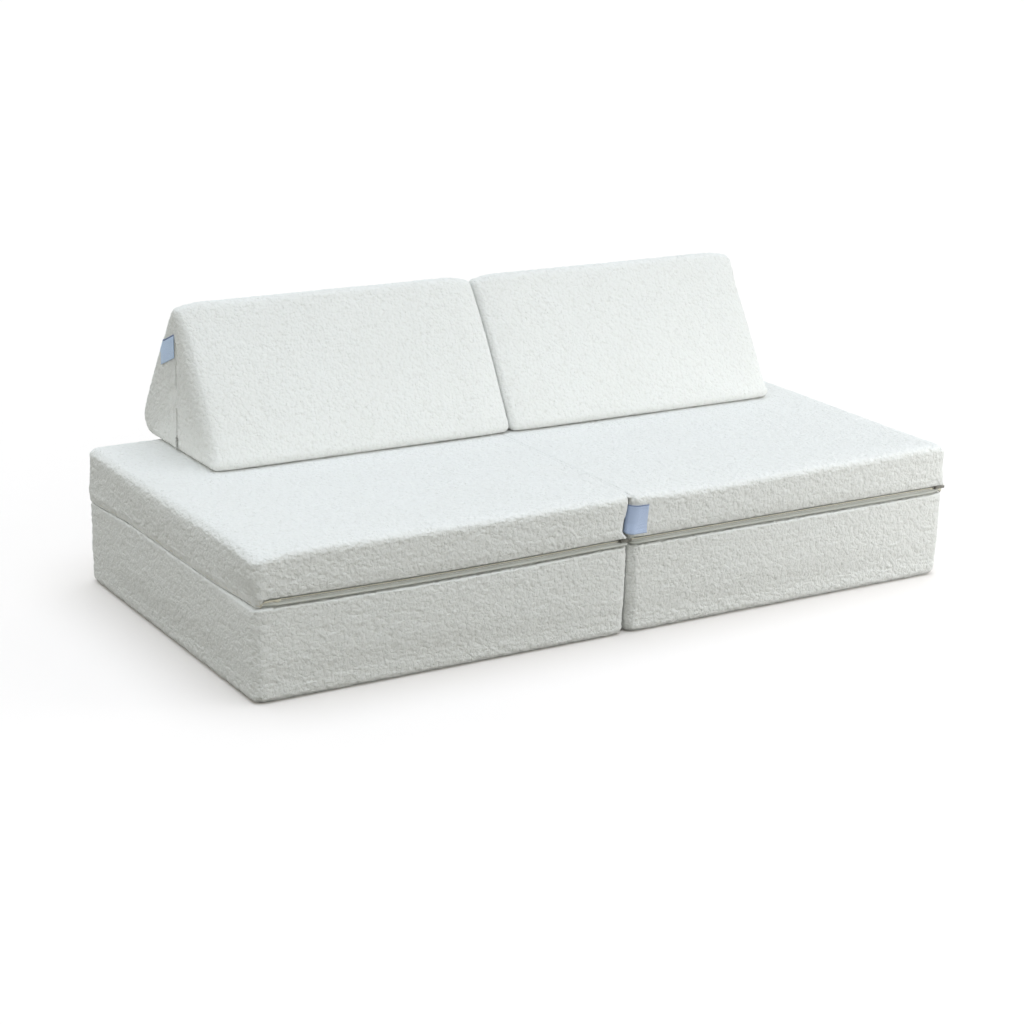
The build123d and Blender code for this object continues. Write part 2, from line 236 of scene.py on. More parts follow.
def threadGroup():  # crossing threads of a plain or ribbed cloth
    group, given, out = nodeGroup(
        "crossThreads",
        [("Vector", "NodeSocketVector", None), ("Thread", "NodeSocketFloat", 0.0006),
         ("Slub", "NodeSocketFloat", 0.4)],
        [("Shade", "NodeSocketFloat"), ("Height", "NodeSocketFloat")],
    )
    rate = mathNode(group, "DIVIDE", 3.14159, given["Thread"])
    parts = addNode(group, "ShaderNodeSeparateXYZ", {0: given["Vector"]})
    waves = []
    for axis in range(3):
        turn = mathNode(group, "MULTIPLY", parts.outputs[axis], rate)
        waves.append(mathNode(group, "ABSOLUTE", mathNode(group, "SINE", turn)))
    ribs = mathNode(group, "MULTIPLY", mathNode(group, "ADD", waves[0], waves[1]),
                    mathNode(group, "ADD", waves[2], 0.35))
    slub = addNode(group, "ShaderNodeTexNoise", {"Vector": given["Vector"]},
                   {"Scale": 420.0, "Detail": 3.0})
    uneven = mathNode(group, "MULTIPLY", mathNode(group, "SUBTRACT", slub.outputs[0], 0.5), given["Slub"])
    height = mathNode(group, "ADD", mathNode(group, "MULTIPLY", ribs, 0.45), uneven)
    group.links.new(height, out["Height"])
    group.links.new(mathNode(group, "ADD", height, 0.2, clamp=True), out["Shade"])
    return group


def patchGroup():  # slow drift of tone over a whole cover
    group, given, out = nodeGroup(
        "slowPatches",
        [("Vector", "NodeSocketVector", None), ("Size", "NodeSocketFloat", 0.12)],
        [("Amount", "NodeSocketFloat")],
    )
    rate = mathNode(group, "DIVIDE", 1.0, given["Size"])
    cloud = addNode(group, "ShaderNodeTexNoise", {"Vector": given["Vector"], "Scale": rate},
                    {"Detail": 3.0, "Roughness": 0.6})
    spread = addNode(group, "ShaderNodeMapRange", {"Value": cloud.outputs[0]},
                     {"From Min": 0.35, "From Max": 0.65})
    group.links.new(spread.outputs[0], out["Amount"])
    return group


loopYarn = loopYarnGroup()
crossThreads = threadGroup()
slowPatches = patchGroup()


def startMaterial(name):
    material = bpy.data.materials.new(name)
    material.use_nodes = True
    tree = material.node_tree
    shader = tree.nodes["Principled BSDF"]
    place = tree.nodes.new("ShaderNodeTexCoord").outputs["Object"]
    return material, tree, shader, place


def useGroup(tree, group, place, values):
    node = tree.nodes.new("ShaderNodeGroup")
    node.node_tree = group
    tree.links.new(place, node.inputs["Vector"])
    for key, value in values.items():
        node.inputs[key].default_value = value
    return node


def setBump(tree, shader, height, strength, distance):
    bump = tree.nodes.new("ShaderNodeBump")
    bump.inputs["Strength"].default_value = strength
    bump.inputs["Distance"].default_value = distance
    tree.links.new(height, bump.inputs["Height"])
    tree.links.new(bump.outputs[0], shader.inputs["Normal"])


boucle = {
    "tip": (0.777, 0.787, 0.772),
    # the recess colour is painted shade, the darker colour laid into the hollows between curls
    "paintedRecessShade": (0.70, 0.705, 0.68),
    "warm": (0.748, 0.748, 0.72),
    "patch": 0.2,
    "loopSize": 6.4 * mm,
    "bumpStrength": 0.75,
    "bumpDistance": 2.0 * mm,
}


def boucleMaterial(name):
    material, tree, shader, place = startMaterial(name)
    yarn = useGroup(tree, loopYarn, place, {"Loop Size": boucle["loopSize"]})
    drift = useGroup(tree, slowPatches, place, {"Size": 0.16})
    # the curl depth and the yarn's Shade make a painted shade mask: low curls take the darker painted recess shade,
    # high curls the tip colour
    depth = addNode(tree, "ShaderNodeAttribute", attribute_name="curl").outputs["Fac"]
    paintedShadeMask = mathNode(tree, "ADD", mathNode(tree, "MULTIPLY", depth, 0.4),
                    mathNode(tree, "MULTIPLY", yarn.outputs["Shade"], 0.6))
    tone = addNode(tree, "ShaderNodeMapRange", {"Value": paintedShadeMask}, {"From Min": 0.2, "From Max": 0.72})
    woolWithPaintedShade = mixColour(tree, tone.outputs[0], boucle["paintedRecessShade"], boucle["tip"])
    share = mathNode(tree, "MULTIPLY", drift.outputs[0], boucle["patch"])
    tree.links.new(mixColour(tree, share, woolWithPaintedShade, boucle["warm"]), shader.inputs["Base Color"])
    rough = addNode(tree, "ShaderNodeMapRange", {"Value": paintedShadeMask}, {"To Min": 1.0, "To Max": 0.82})
    tree.links.new(rough.outputs[0], shader.inputs["Roughness"])
    shader.inputs["Sheen Weight"].default_value = 0.18
    shader.inputs["Sheen Roughness"].default_value = 0.6
    shader.inputs["Specular IOR Level"].default_value = 0.25
    setBump(tree, shader, yarn.outputs["Height"], boucle["bumpStrength"], boucle["bumpDistance"])
    return material


def clothMaterial(name, light, dark, thread, slub, strength, sheen=0.1, rough=(0.95, 0.75)):
    material, tree, shader, place = startMaterial(name)
    weave = useGroup(tree, crossThreads, place, {"Thread": thread, "Slub": slub})
    drift = useGroup(tree, slowPatches, place, {"Size": 0.06})
    tone = mixColour(tree, weave.outputs["Shade"], dark, light)
    share = mathNode(tree, "MULTIPLY", drift.outputs[0], 0.25)
    tree.links.new(mixColour(tree, share, tone, dark), shader.inputs["Base Color"])
    spread = addNode(tree, "ShaderNodeMapRange", {"Value": weave.outputs["Shade"]},
                     {"To Min": rough[0], "To Max": rough[1]})
    tree.links.new(spread.outputs[0], shader.inputs["Roughness"])
    shader.inputs["Sheen Weight"].default_value = sheen
    setBump(tree, shader, weave.outputs["Height"], strength, 0.35 * mm)
    return material


def metalMaterial(name, colour, worn, metallic, rough):
    material, tree, shader, place = startMaterial(name)
    drift = useGroup(tree, slowPatches, place, {"Size": 0.004})
    grain = addNode(tree, "ShaderNodeTexNoise", {"Vector": place}, {"Scale": 2600.0, "Detail": 3.0})
    tree.links.new(mixColour(tree, drift.outputs[0], colour, worn), shader.inputs["Base Color"])
    shader.inputs["Metallic"].default_value = metallic
    spread = addNode(tree, "ShaderNodeMapRange", {"Value": drift.outputs[0]},
                     {"To Min": rough - 0.08, "To Max": rough + 0.12})
    tree.links.new(spread.outputs[0], shader.inputs["Roughness"])
    setBump(tree, shader, grain.outputs[0], 0.12, 0.05 * mm)
    return material


def foamMaterial(name):
    material, tree, shader, place = startMaterial(name)
    cells = addNode(tree, "ShaderNodeTexVoronoi", {"Vector": place}, {"Scale": 900.0})
    tone = mixColour(tree, cells.outputs["Distance"], (0.62, 0.58, 0.46), (0.82, 0.79, 0.68))
    tree.links.new(tone, shader.inputs["Base Color"])
    shader.inputs["Roughness"].default_value = 0.95
    setBump(tree, shader, cells.outputs["Distance"], 0.5, 0.6 * mm)
    return material


woolFinish = boucleMaterial("whiteBoucle")
liningFinish = clothMaterial("creamLining", (0.56, 0.57, 0.525), (0.405, 0.413, 0.375), 0.8 * mm, 0.5, 0.5)
tapeFinish = clothMaterial("zipTapeCloth", (0.44, 0.452, 0.442), (0.31, 0.318, 0.31), 0.5 * mm, 0.3, 0.5)
paleTapeFinish = clothMaterial("paleZipCloth", (0.80, 0.80, 0.77), (0.66, 0.66, 0.63), 0.5 * mm, 0.3, 0.5)
teethFinish = clothMaterial("zipTeethNylon", (0.41, 0.418, 0.405), (0.29, 0.295, 0.285), 0.9 * mm, 0.1, 0.2,
                            sheen=0.0, rough=(0.5, 0.35))
# painted light: the same blue label as the cushion's, painted lighter to stand for more light on the pillow's end
lighterPaintedTagFinish = clothMaterial("blueTagClothPaintedLighter", (0.62, 0.78, 1.0), (0.46, 0.60, 0.88), 0.55 * mm, 0.25, 0.45,
                              sheen=0.25, rough=(0.7, 0.45))
tagFinish = clothMaterial("blueTagCloth", (0.54, 0.65, 0.88), (0.40, 0.50, 0.72), 0.55 * mm, 0.25, 0.45,
                          sheen=0.25, rough=(0.7, 0.45))
tagEdgeFinish = clothMaterial("blueTagThread", (0.20, 0.27, 0.46), (0.12, 0.17, 0.3), 0.4 * mm, 0.2, 0.3)
darkMetal = metalMaterial("darkZipMetal", (0.16, 0.155, 0.14), (0.3, 0.29, 0.26), 0.8, 0.5)
lightMetal = metalMaterial("paleZipMetal", (0.62, 0.62, 0.6), (0.42, 0.42, 0.41), 0.85, 0.38)
foamFinish = foamMaterial("palePolyFoam")
print("looks made")


# stage, camera and light

studio = {
    "position": (-2.5428, -4.0586, 1.6363),
    "yaw": 31.945,
    "pitch": 17.349,
    "roll": 1.554,
    "lens": 80.887,
    "zenith": (0.0, 0.0, 0.0),
    "horizon": (0.995, 1.0, 0.94),
    "skyStrength": 1.7,
    "suns": (
        ("softTop", 2.14, 70, 0, 88, (0.855, 0.918, 1.0)),
        ("softBack", 0.38, 60, -150, 60, (1.0, 1.0, 1.0)),
        ("softRight", 0.11, 55, -50, 50, (1.0, 1.0, 1.0)),
    ),
    "fills": (("rightFill", 16.6, 0.8, (1.95, -1.65, 0.42), (0.75, -0.44, 0.15)),),
    "floorSize": 60.0,
}


def setCamera():
    yaw, pitch, roll = (radians(studio[key]) for key in ("yaw", "pitch", "roll"))
    ahead = Vector((sin(yaw) * cos(pitch), cos(yaw) * cos(pitch), -sin(pitch)))
    right = Vector((cos(yaw), -sin(yaw), 0))
    up = right.cross(ahead)
    across = cos(roll) * right + sin(roll) * up
    upward = -sin(roll) * right + cos(roll) * up
    turn = Matrix((across, upward, -ahead)).transposed()
    data = bpy.data.cameras.new("photoCamera")
    data.lens = studio["lens"]
    data.sensor_width = 36
    data.clip_end = 60
    camera = bpy.data.objects.new("photoCamera", data)
    camera.matrix_world = Matrix.Translation(studio["position"]) @ turn.to_4x4()
    scene.collection.objects.link(camera)
    scene.camera = camera


def setLight():
    world = bpy.data.worlds.new("paleRoom")
    scene.world = world
    world.use_nodes = True
    tree = world.node_tree
    tree.nodes.clear()
    way = tree.nodes.new("ShaderNodeTexCoord").outputs["Generated"]
    parts = addNode(tree, "ShaderNodeSeparateXYZ", {0: way})
    rise = addNode(tree, "ShaderNodeMapRange", {"Value": parts.outputs[2]}, {"From Min": 0.0, "From Max": 0.8})
    colour = mixColour(tree, rise.outputs[0], studio["horizon"], studio["zenith"])
    sky = addNode(tree, "ShaderNodeBackground", {"Color": colour}, {"Strength": studio["skyStrength"]})
    white = addNode(tree, "ShaderNodeBackground", None, {"Color": (1, 1, 1, 1), "Strength": 1.0})
    ray = tree.nodes.new("ShaderNodeLightPath")
    pick = addNode(tree, "ShaderNodeMixShader", {0: ray.outputs["Is Camera Ray"]})
    tree.links.new(sky.outputs[0], pick.inputs[1])
    tree.links.new(white.outputs[0], pick.inputs[2])
    end = tree.nodes.new("ShaderNodeOutputWorld")
    tree.links.new(pick.outputs[0], end.inputs[0])
    for name, strength, spread, turn, rise, colour in studio["suns"]:
        data = bpy.data.lights.new(name, "SUN")
        data.energy = strength
        data.angle = radians(spread)
        data.color = colour
        lamp = bpy.data.objects.new(name, data)
        turn, rise = radians(turn), radians(rise)
        away = Vector((-sin(turn) * cos(rise), -cos(turn) * cos(rise), sin(rise)))
        lamp.matrix_world = away.to_track_quat("Z", "Y").to_matrix().to_4x4()
        scene.collection.objects.link(lamp)
    for name, power, size, place, aim in studio["fills"]:
        data = bpy.data.lights.new(name, "AREA")
        data.energy = power
        data.size = size
        lamp = bpy.data.objects.new(name, data)
        turned = (Vector(aim) - Vector(place)).to_track_quat("-Z", "Y")
        lamp.matrix_world = Matrix.Translation(place) @ turned.to_matrix().to_4x4()
        scene.collection.objects.link(lamp)
    scene.view_settings.view_transform = "Standard"
    scene.view_settings.look = "None"


def setFloor():  # white to the eye, and a duller bounce, as a floor far from a cut-out picture has
    bm = emptyMesh()
    bmesh.ops.create_grid(bm, x_segments=4, y_segments=4, size=studio["floorSize"])
    floor = toObject(bm, "paleFloor", smooth=False)
    material, tree, shader, place = startMaterial("paleFloorPaint")
    drift = useGroup(tree, slowPatches, place, {"Size": 0.9})
    white = mixColour(tree, drift.outputs[0], (0.953, 0.912, 0.884), (0.95, 0.909, 0.881))
    ray = tree.nodes.new("ShaderNodeLightPath")
    tree.links.new(mixColour(tree, ray.outputs["Is Camera Ray"], (0.15, 0.145, 0.13), white),
                   shader.inputs["Base Color"])
    shader.inputs["Roughness"].default_value = 0.9
    shader.inputs["Specular IOR Level"].default_value = 0.0
    floor.data.materials.append(material)


setCamera()
setLight()
setFloor()
print("stage, camera and light set")


# the bouclé surface: curls are raised from the mesh itself, and how deep each point lies is stored in the curl
# attribute, which the bouclé material turns into painted shade in the recesses

curls = {
    "size": 10.5 * mm,
    "fineSize": 10 * mm,
    "height": 2.3 * mm,
    "above": 0.24,
    "wander": 0.45,
}


def curlAt(point):
    drift = noise.noise_vector(point / (curls["size"] * 1.7))
    place = point / curls["size"] + drift * curls["wander"]
    near = noise.voronoi(place)[0]
    dome = 1 - min(near[0] ** 2 * 1.35, 1)
    worm = 1 - min(noise.noise(point / curls["fineSize"] + drift) ** 2 * 7, 1)
    return 0.65 * dome + 0.35 * worm


def raiseCurls(obj, amount):  # amount(point) is 1 where the pile stands free and 0 where it is pressed flat
    mesh = obj.data
    count = len(mesh.vertices)
    flat = [0.0] * (3 * count)
    ways = [0.0] * (3 * count)
    mesh.vertices.foreach_get("co", flat)
    mesh.vertex_normals.foreach_get("vector", ways)
    # depths feed the painted shade: low values are darkened by the bouclé material as shade between curls
    depths = [0.5] * count
    for i in range(count):
        j = 3 * i
        point = Vector(flat[j:j + 3])
        way = Vector(ways[j:j + 3])
        free = amount(point, way)
        if free <= 0:
            continue
        curl = curlAt(point)
        depths[i] = 0.5 + (curl - 0.5) * free
        move = curls["height"] * free * (curl - 1 + curls["above"])
        point += way * move
        flat[j:j + 3] = point
    mesh.vertices.foreach_set("co", flat)
    # the curl attribute carries the depth that the bouclé material paints as shade in the recesses
    layer = mesh.attributes.new("curl", "FLOAT", "POINT")
    layer.data.foreach_set("value", depths)
    mesh.update()


# soft blocks: a base or cushion half, row by row from its top down, then subdivided

def sideShares(length, corner, step):  # places along a side, closer at its corners, from 0 to 1
    near = [0, corner * 0.586, corner]
    count = max(1, round((length - 2 * corner) / step))
    between = [corner + (length - 2 * corner) * i / count for i in range(1, count)]
    return [place / length for place in near + between + [length - place for place in reversed(near)]]


def drawnRow(shape, rise):
    share = min(max((rise - shape["band"]) / shape["swellRise"], 0), 1)
    return {
        "rise": rise,
        "inset": shape["draw"] * (1 - sin(share ** shape["fullness"] * pi / 2)),
        "swell": shape["swell"] * share,
        "corner": shape["lowCorner"] + share * (shape["corner"] - shape["lowCorner"]),
        "foldShare": shape["foldShare"],
    }


def blockPoint(side, floor, row, alongX, alongY):
    inner = row["gap"] + row["inset"] * row["foldShare"]
    outer = halfLength - row["inset"]
    front = frontY + row["inset"]
    back = backY - row["inset"]
    x = inner + alongX * (outer - inner)
    y = front + alongY * (back - front)
    corner = row["corner"]
    nearX = min(max(x, inner + corner), outer - corner)
    nearY = min(max(y, front + corner), back - corner)
    dx, dy = x - nearX, y - nearY
    size = hypot(dx, dy)
    if size > 0:
        reach = max(abs(dx), abs(dy)) / size
        x, y = nearX + dx * reach, nearY + dy * reach
    x -= row["swell"] * alongX * (2 * alongY - 1) ** 2
    y += row["swell"] * (2 * alongX - 1) ** 2 * (1 - 2 * alongY)
    return Vector((side * x, y, floor + row["rise"]))


def blockRows(shape):  # from the shoulder down to the last row that the shape names
    shoulder = shape["height"] - shape["crown"]
    top = shape["topEdge"]
    rows = []
    for turn in (90, 62, 36, 14):
        row = drawnRow(shape, shoulder - top * (1 - sin(radians(turn))))
        row["inset"] = top * (1 - cos(radians(turn)))
        rows.append(row)
    high = shoulder - top
    low = shape["zipRise"] + shape["zipHalf"] + 3 * mm
    count = round((high - low) / shape["step"])
    for i in range(count + 1):
        rows.append(drawnRow(shape, high + (low - high) * i / count))
    rows.append(drawnRow(shape, low - 1.8 * mm))
    for rise, sunk in ((1, 0), (0.96, 1), (-0.96, 1), (-1, 0)):
        row = drawnRow(shape, shape["zipRise"] + rise * shape["zipHalf"])
        row["sunk"] = sunk
        rows.append(row)
    for rise, inset, foldShare in shape["lowRows"]:
        row = drawnRow(shape, rise)
        row["inset"] = inset
        row["foldShare"] = foldShare
        rows.append(row)
    for row in rows:
        row["gap"] = shape["gap"] / 2
    return rows


def softBlock(name, side, floor, shape, sculpt):
    xs = sideShares(halfLength - shape["gap"] / 2, shape["corner"], shape["step"])
    ys = sideShares(backY - frontY, shape["corner"], shape["step"])
    rows = blockRows(shape)
    bm = emptyMesh()
    shareX = bm.verts.layers.float.new("shareX")
    shareY = bm.verts.layers.float.new("shareY")
    bmesh.ops.create_grid(bm, x_segments=len(xs) - 1, y_segments=len(ys) - 1, size=1)
    run = shape["crownRun"]
    for vert in bm.verts:
        i = round((vert.co.x + 1) / 2 * (len(xs) - 1))
        j = round((vert.co.y + 1) / 2 * (len(ys) - 1))
        vert[shareX], vert[shareY] = xs[i], ys[j]
        vert.co = blockPoint(side, floor, rows[0], xs[i], ys[j])
        x = abs(vert.co.x)
        edge = min(halfLength - x, vert.co.y - frontY, backY - vert.co.y) - shape["topEdge"]
        if shape["foldShare"] > 0.4:
            edge = min(edge, x - shape["gap"] / 2 - shape["topEdge"] * shape["foldShare"])
        share = min(max(edge / run, 0), 1)
        vert.co.z += shape["crown"] * (1 - (1 - share) ** 2)
    if shape["hiddenTop"]:
        inside = [f for f in bm.faces if all(
            3 <= xs.index(min(xs, key=lambda s: abs(s - v[shareX]))) < len(xs) - 3
            and 3 <= ys.index(min(ys, key=lambda s: abs(s - v[shareY]))) < len(ys) - 3
            for v in f.verts)]
        bmesh.ops.delete(bm, geom=inside, context="FACES")
    loop = [e for e in bm.edges if e.is_boundary and all(
        v[shareX] in (xs[0], xs[-1]) or v[shareY] in (ys[0], ys[-1]) for v in e.verts)]
    for row in rows[1:]:
        grown = bmesh.ops.extrude_edge_only(bm, edges=loop)["geom"]
        fresh = {v for v in grown if isinstance(v, bmesh.types.BMVert)}
        loop = [e for e in grown if isinstance(e, bmesh.types.BMEdge) and all(v in fresh for v in e.verts)]
        for vert in fresh:
            spot = blockPoint(side, floor, row, vert[shareX], vert[shareY])
            vert.co = spot
            if row.get("sunk") and shape["zipSide"](vert[shareX], vert[shareY]):
                vert.co.y += shape["zipDepth"] * shape["zipWay"]
    bmesh.ops.recalc_face_normals(bm, faces=bm.faces)
    for vert in bm.verts:
        vert.co += sculpt(side, vert.co)
    return toObject(bm, name)


cushionSag = {"depth": 4 * mm, "middle": -0.44, "reach": 0.36, "above": 34 * mm}
cornerSag = {"depth": 11 * mm, "along": 0.26, "across": 0.2}


def sagAt(x, y, z):  # the left half dips at its front edge and at its back corner where it rests on the base
    high = 1 - smoothStep(z, cushionFloor + 12 * mm, cushionFloor + 12 * mm + cushionSag["above"])
    along = max(1 - ((x - cushionSag["middle"]) / cushionSag["reach"]) ** 2, 0)
    front = cushionSag["depth"] * along * (1 - smoothStep(y, frontY, frontY + 0.3))
    corner = cornerSag["depth"] * (1 - smoothStep(x + halfLength, 0.0, cornerSag["across"]))
    return -(front + corner * smoothStep(y, backY - cornerSag["along"], backY)) * high


def rounded(point, outward, top, radius):  # the move that rounds a top edge; outward is the depth behind its side
    deep, low = outward, top - point.z
    if not (deep < radius and low < radius):
        return Vector((0, 0))
    gap = Vector((radius - deep, radius - low))
    return gap * (1 - radius / gap.length) if gap.length > radius else Vector((0, 0))


baseHalf = {
    "height": baseHigh.z,
    "gap": 3 * mm,
    "band": 48 * mm,
    "draw": 4 * mm,
    "swellRise": 50 * mm,
    "fullness": 1.0,
    "swell": 3 * mm,
    "topEdge": 5 * mm,
    "crown": 1 * mm,
    "crownRun": 30 * mm,
    "lowCorner": 20 * mm,
    "corner": 20 * mm,
    "foldShare": 0.5,
    "step": 15 * mm,
    "zipRise": 34 * mm,
    "zipHalf": 3.7 * mm,
    "zipDepth": 5.8 * mm,
    "zipWay": -1,
    "zipSide": lambda alongX, alongY: alongY == 1 and 0.035 < alongX < 0.965,
    "hiddenTop": False,
    "lowRows": (
        (24 * mm, 4 * mm, 0.5), (14 * mm, 4 * mm, 0.5), (8.6 * mm, 5.1 * mm, 0.5), (4.1 * mm, 8.1 * mm, 0.5),
        (1.1 * mm, 12.2 * mm, 0.5), (0.15 * mm, 15.9 * mm, 0.6), (0.0, 19 * mm, 0.7), (0.0, 35.4 * mm, 1.0),
        (0.2 * mm, 36 * mm, 1.0), (3.15 * mm, 36.2 * mm, 1.0), (3.15 * mm, 40 * mm, 1.0),
    ),
}


baseCorner = {"radius": 22 * mm, "reach": 0.24}
baseFoot = {"radius": 40 * mm, "reach": 0.2}


def sculptBase(side, point):
    x, y, z = point
    move = Vector((0, 0, 0))
    if z > 0.1:
        move.z += sagAt(x, y, cushionFloor) * smoothStep(z, 0.12, baseHigh.z)
        radius = baseCorner["radius"] * (1 - smoothStep(y, frontY + 0.02, frontY + baseCorner["reach"]))
        pull = rounded(point, x + halfLength, baseHigh.z, radius)
        move += Vector((pull.x, 0, -pull.y))
    if z < baseFoot["radius"]:  # the foot of the right front corner
        radius = baseFoot["radius"] * (1 - smoothStep(y, frontY + 0.03, frontY + baseFoot["reach"]))
        pull = rounded(Vector((x, y, -z)), halfLength - x, 0.0, radius)
        move += Vector((-pull.x, 0, pull.y))
    wave = noise.noise_vector(Vector((x * 4.0, y * 4.0, z * 7.0)) + Vector((7.1, 2.3, 5.9)))
    rim = smoothStep(z, 0.02, 0.06) * (1 - smoothStep(z, 0.16, 0.18))
    outward = abs(x) > halfLength - 8 * mm or y < frontY + 12 * mm or y > backY - 12 * mm
    if outward:
        move += Vector((wave.x, wave.y, 0)) * 1.2 * mm * rim
    if abs(x) < 0.038 and abs(y - middleY) < 0.372 and z < 1.5 * mm:
        move.z = 1.5 * mm - z  # room for the fabric hinge
    return move


def basePile(point, way):
    if point.z < 1.0 * mm:
        return 0.0
    inside = min(halfLength - abs(point.x), point.y - frontY, backY - point.y)
    if point.z > baseHigh.z - 6 * mm:
        return 1 - smoothStep(inside, 22 * mm, 34 * mm)
    if abs(point.x) < 26 * mm:
        return 0.25 + 0.75 * smoothStep(-inside, -40 * mm, -12 * mm)
    if point.y > backY - 12 * mm and abs(point.z - 34 * mm) < 3.9 * mm:
        return 0.0
    return 1.0


bareBlocks = []
for half, side in sides.items():
    cover = softBlock(f"base_{half}_boucle", side, 0.0, baseHalf, sculptBase)
    foamInside(cover.data, f"base_{half}_foam", f"base_{half}")
    softened(cover, 2)
    raiseCurls(cover, basePile)
    finishPiece(cover, woolFinish, f"base_{half}", [f"base_{half}_cover"])
    print("base", half, len(cover.data.polygons), "faces")

cushionHalf = {
    "height": 108 * mm,
    "gap": 3 * mm,
    "band": 16 * mm,
    "draw": 9 * mm,
    "swellRise": 30 * mm,
    "fullness": 0.35,
    "swell": 3 * mm,
    "topEdge": 14 * mm,
    "crown": 2.5 * mm,
    "crownRun": 40 * mm,
    "lowCorner": 8 * mm,
    "corner": 18 * mm,
    "foldShare": 0.12,
    "step": 12 * mm,
    "zipRise": 12 * mm,
    "zipHalf": 3.7 * mm,
    "zipDepth": 5.8 * mm,
    "zipWay": 1,
    "zipSide": lambda alongX, alongY: alongY == 0 and 0.012 < alongX < 0.99,
    "hiddenTop": False,
    "lowRows": ((8.3 * mm, 10 * mm, 0.4), (8.2 * mm, 12.2 * mm, 0.9), (3.2 * mm, 12.3 * mm, 0.9)),
}
frontDrop = {"depth": 8 * mm, "reach": 0.11}
sideLap = {"drop": 8 * mm, "inset": 0.6 * mm, "turn": 2.4 * mm}
cornerTuck = {"depth": 9 * mm, "reach": 0.2}
leftRoll = 27 * mm
foldNotch = {"left": 15 * mm, "right": 7 * mm}


def lapAt(x, y):  # 1 where the bouclé hangs over the lining, 0 along the front zip and in the fold
    along = max(smoothStep(abs(x), 0.82, 0.828), smoothStep(y, frontY + 16 * mm, frontY + 26 * mm))
    return along * smoothStep(abs(x), 0.05, 0.1)


def outwardAt(x, y):
    way = Vector((0, 0, 0))
    if abs(x) > halfLength - 32 * mm:
        way.x = 1 if x > 0 else -1
    if y < frontY + 32 * mm:
        way.y = -1
    elif y > backY - 32 * mm:
        way.y = 1
    if way.x and way.y:
        cornerX, cornerY = halfLength - 32 * mm, (frontY + 32 * mm if way.y < 0 else backY - 32 * mm)
        way = Vector((x - way.x * cornerX, y - cornerY, 0))
    return way.normalized() if way.length > 0 else way


def sculptCushion(side, point):
    x, y, z = point
    move = Vector((0, 0, sagAt(x, y, z)))
    high = smoothStep(z, cushionFloor + 0.045, cushionFloor + 0.1)
    front = 1 - smoothStep(y, frontY, frontY + 0.16)
    left = 1 - smoothStep(x + halfLength, 0.0, frontDrop["reach"])
    move.z -= frontDrop["depth"] * high * left * (1 - smoothStep(y, frontY, frontY + frontDrop["reach"]))
    if side > 0:
        dip = exp(-((x - 0.18) / 0.13) ** 2) * -5 * mm + exp(-((x - 0.74) / 0.1) ** 2) * 3 * mm
        move.z += dip * high * front
    rise = z - cushionFloor
    pull = rounded(point, x + halfLength, cushionHigh.z, leftRoll)
    move += Vector((pull.x, 0, -pull.y))
    tuck = 1 - smoothStep(hypot(x + halfLength, y - frontY), 0.02, cornerTuck["reach"])
    tuck *= 1 - smoothStep(rise, 14 * mm, 60 * mm)
    if tuck > 0 and x + halfLength < 0.05:
        move.x += cornerTuck["depth"] * tuck
    lap = lapAt(x, y)
    edge = min(halfLength - abs(x), y - frontY, backY - y)
    if lap > 0 and 8.25 * mm < rise < 46 * mm and edge < 16 * mm:
        move.z -= sideLap["drop"] * lap * (1 - smoothStep(rise, 8.3 * mm, 17 * mm))
        wanted = sideLap["inset"] + sideLap["turn"] * (1 - smoothStep(rise, 8.3 * mm, 15 * mm))
        out = max(drawnRow(cushionHalf, rise)["inset"] - wanted, 0) * lap
        move += outwardAt(x, y) * out
    near = 1 - smoothStep(y, frontY + 12 * mm, frontY + 75 * mm)
    if rise > 16 * mm and near > 0:
        low = 1 - smoothStep(rise, 22 * mm, 92 * mm)
        shift = foldNotch["left" if side < 0 else "right"] * (1 - smoothStep(abs(x), 0.0, 0.09))
        start = 15.8 * mm if side < 0 else 20 * mm
        move.x -= shift * near * low * smoothStep(rise, start, start + 8 * mm)
    wave = noise.noise_vector(Vector((x * 3.2, y * 3.2, z * 6.0)) + Vector((1.7, 8.3, 3.1)))
    rim = smoothStep(z, cushionFloor + 0.02, cushionFloor + 0.04)
    move += Vector((wave.x * 0.8, wave.y * 0.8, wave.z * 0.9)) * 1.6 * mm * rim * smoothStep(abs(x), 0.01, 0.06)
    return move


pillowLow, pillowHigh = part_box("pillow_left_cover")
pillowFarLow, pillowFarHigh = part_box("pillow_right_cover")
pillowFootY = pillowLow.y


def cushionPile(point, way):
    if point.z < cushionFloor + 8.4 * mm and (way.z < -0.5 or lapAt(point.x, point.y) < 0.5):
        return 0.0
    if abs(point.x) < 14 * mm and way.z < 0.5:
        return 0.2 + 0.8 * (1 - smoothStep(point.y, frontY + 10 * mm, frontY + 30 * mm))
    if point.y < frontY + 18 * mm and abs(point.z - cushionFloor - 12 * mm - sagAt(*point)) < 4.2 * mm:
        return 0.0
    if way.z > 0.5:
        under = smoothStep(point.y, pillowFootY + 18 * mm, pillowFootY + 32 * mm)
        under *= smoothStep(point.x, pillowLow.x + 8 * mm, pillowLow.x + 22 * mm)
        under *= 1 - smoothStep(point.x, pillowFarHigh.x - 22 * mm, pillowFarHigh.x - 8 * mm)
        return 0.75 * (1 - 0.9 * under)
    return 1.0


for half, side in sides.items():
    cover = softBlock(f"cushion_{half}_boucle", side, cushionFloor, cushionHalf, sculptCushion)
    foamInside(cover.data, f"cushion_{half}_foam", "cushion")
    softened(cover, 2)
    raiseCurls(cover, cushionPile)
    finishPiece(cover, woolFinish, "cushion", [f"cushion_{half}_cover"])
    print("cushion", half, len(cover.data.polygons), "faces")


# trays, panels and the strip at the fold

